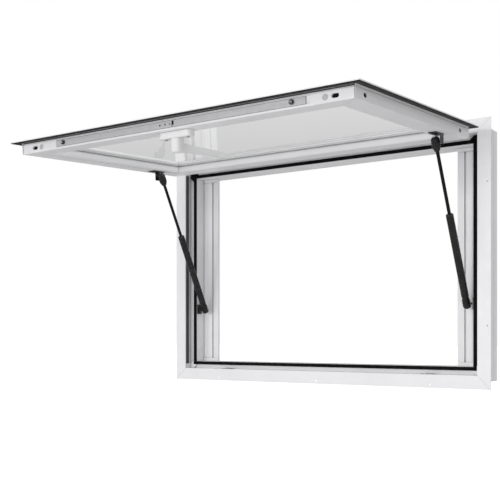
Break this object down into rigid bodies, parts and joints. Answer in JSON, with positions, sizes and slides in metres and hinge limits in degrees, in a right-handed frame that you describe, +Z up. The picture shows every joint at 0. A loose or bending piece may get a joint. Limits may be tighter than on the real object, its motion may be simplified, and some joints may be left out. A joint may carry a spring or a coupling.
{
  "type": "awning service window",
  "caption": "Top-hinged glazed awning window in an aluminium frame, shown swung open on gas struts, with an inside lever handle that drives a sliding lock bar.",
  "frame": {"origin": "on the wall plane, at the middle of the bottom edge of the frame's outer flange", "axes": "+X along the window to the right seen from outside, +Y into the wall and the room, +Z up"},
  "size_m": [0.948, 0.7338, 0.644],
  "materials": {
    "white_paint": "satin white powder coat on extruded aluminium",
    "grey_paint": "satin grey anodised aluminium",
    "white_plastic": "fine-grained moulded white plastic",
    "black_rubber": "matt black extruded rubber",
    "black_steel": "semi-gloss black painted steel",
    "strut_rod": "smooth black salt-bath treated steel",
    "bright_steel": "zinc-plated steel",
    "cast_zinc": "dull cast zinc",
    "clear_glass": "clear float glass"
  },
  "bodies": {
    "frame": {"frame_sill": "white_paint", "frame_jamb_left": "white_paint", "frame_head": "white_paint", "frame_jamb_right": "white_paint", "gasket_sill": "black_rubber", "gasket_jamb_left": "black_rubber", "gasket_head": "black_rubber", "gasket_jamb_right": "black_rubber", "corner_piece_top_left": "black_rubber", "corner_piece_top_right": "black_rubber", "corner_piece_bottom_left": "white_plastic", "corner_piece_bottom_right": "white_plastic", "jamb_guide_left": "white_paint", "jamb_guide_right": "white_paint", "guide_cap_top_left": "white_plastic", "guide_cap_top_right": "white_plastic", "guide_cap_bottom_left": "white_plastic", "guide_cap_bottom_right": "white_plastic", "strut_mount_left": "black_steel", "strut_mount_right": "black_steel", "keeper_left": "cast_zinc", "keeper_right": "cast_zinc", "hinge_fixed_leaf": "white_paint"},
    "sash": {"sash_bottom_rail": "white_paint", "sash_top_rail": "white_paint", "sash_stile_left": "white_paint", "sash_stile_right": "white_paint", "edge_plug_left": "white_plastic", "edge_plug_right": "white_plastic", "glass_pane": "clear_glass", "glazing_rubber_outer": "black_rubber", "glazing_tape_inner": "white_plastic", "glazing_bead_bottom": "white_paint", "glazing_bead_top": "white_paint", "glazing_bead_left": "white_paint", "glazing_bead_right": "white_paint", "sash_seal": "black_rubber", "hinge_moving_leaf": "white_paint", "strut_bracket_left": "black_steel", "strut_bracket_right": "black_steel", "lock_case": "bright_steel", "handle_base": "white_plastic", "handle_screw_left": "bright_steel", "handle_screw_right": "bright_steel"},
    "handle": {"handle_lever": "white_plastic", "lock_pinion": "bright_steel"},
    "lock_bar": {"lock_bar": "grey_paint", "lock_roller_left": "bright_steel", "lock_roller_right": "bright_steel", "lock_rack": "bright_steel"},
    "strut_rod_left": {"strut_rod_left": "strut_rod", "strut_upper_socket_left": "black_steel"},
    "strut_tube_left": {"strut_tube_left": "black_steel", "strut_gland_left": "black_steel", "strut_lower_socket_left": "black_steel"},
    "strut_rod_right": {"strut_rod_right": "strut_rod", "strut_upper_socket_right": "black_steel"},
    "strut_tube_right": {"strut_tube_right": "black_steel", "strut_gland_right": "black_steel", "strut_lower_socket_right": "black_steel"}
  },
  "joints": [
    {"name": "sash_hinge", "type": "hinge", "parent": "frame", "child": "sash", "pos_m": [0, -0.024, 0.636], "axis": [1, 0, 0], "range_deg": [0, 86.6]},
    {"name": "handle_turn", "type": "hinge", "parent": "sash", "child": "handle", "pos_m": [0.005, -0.58943, 0.53379], "axis": [0, -0.0593, 0.9982], "range_deg": [0, 90]},
    {"name": "bar_slide", "type": "slide", "parent": "sash", "child": "lock_bar", "axis": [1, 0, 0], "range_m": [0, 0.0101]},
    {"name": "strut_left_lean", "type": "hinge", "parent": "sash", "child": "strut_rod_left", "pos_m": [-0.4, -0.15811, 0.56642], "axis": [1, 0, 0], "range_deg": [-115.55, 0]},
    {"name": "strut_left_stroke", "type": "slide", "parent": "strut_rod_left", "child": "strut_tube_left", "axis": [0, -0.4779, 0.8784], "range_m": [0, 0.1186]},
    {"name": "strut_right_lean", "type": "hinge", "parent": "sash", "child": "strut_rod_right", "pos_m": [0.4, -0.15811, 0.56642], "axis": [1, 0, 0], "range_deg": [-115.55, 0]},
    {"name": "strut_right_stroke", "type": "slide", "parent": "strut_rod_right", "child": "strut_tube_right", "axis": [0, -0.4779, 0.8784], "range_m": [0, 0.1186]}
  ],
  "couplings": [
    {"joint": "bar_slide", "follows": "handle_turn", "m_per_rad": 0.006366},
    {"joint": "strut_left_lean", "follows": "sash_hinge", "ratio": -1.3286},
    {"joint": "strut_left_stroke", "follows": "sash_hinge", "m_per_rad": 0.078283},
    {"joint": "strut_right_lean", "follows": "sash_hinge", "ratio": -1.3286},
    {"joint": "strut_right_stroke", "follows": "sash_hinge", "m_per_rad": 0.078283}
  ]
}
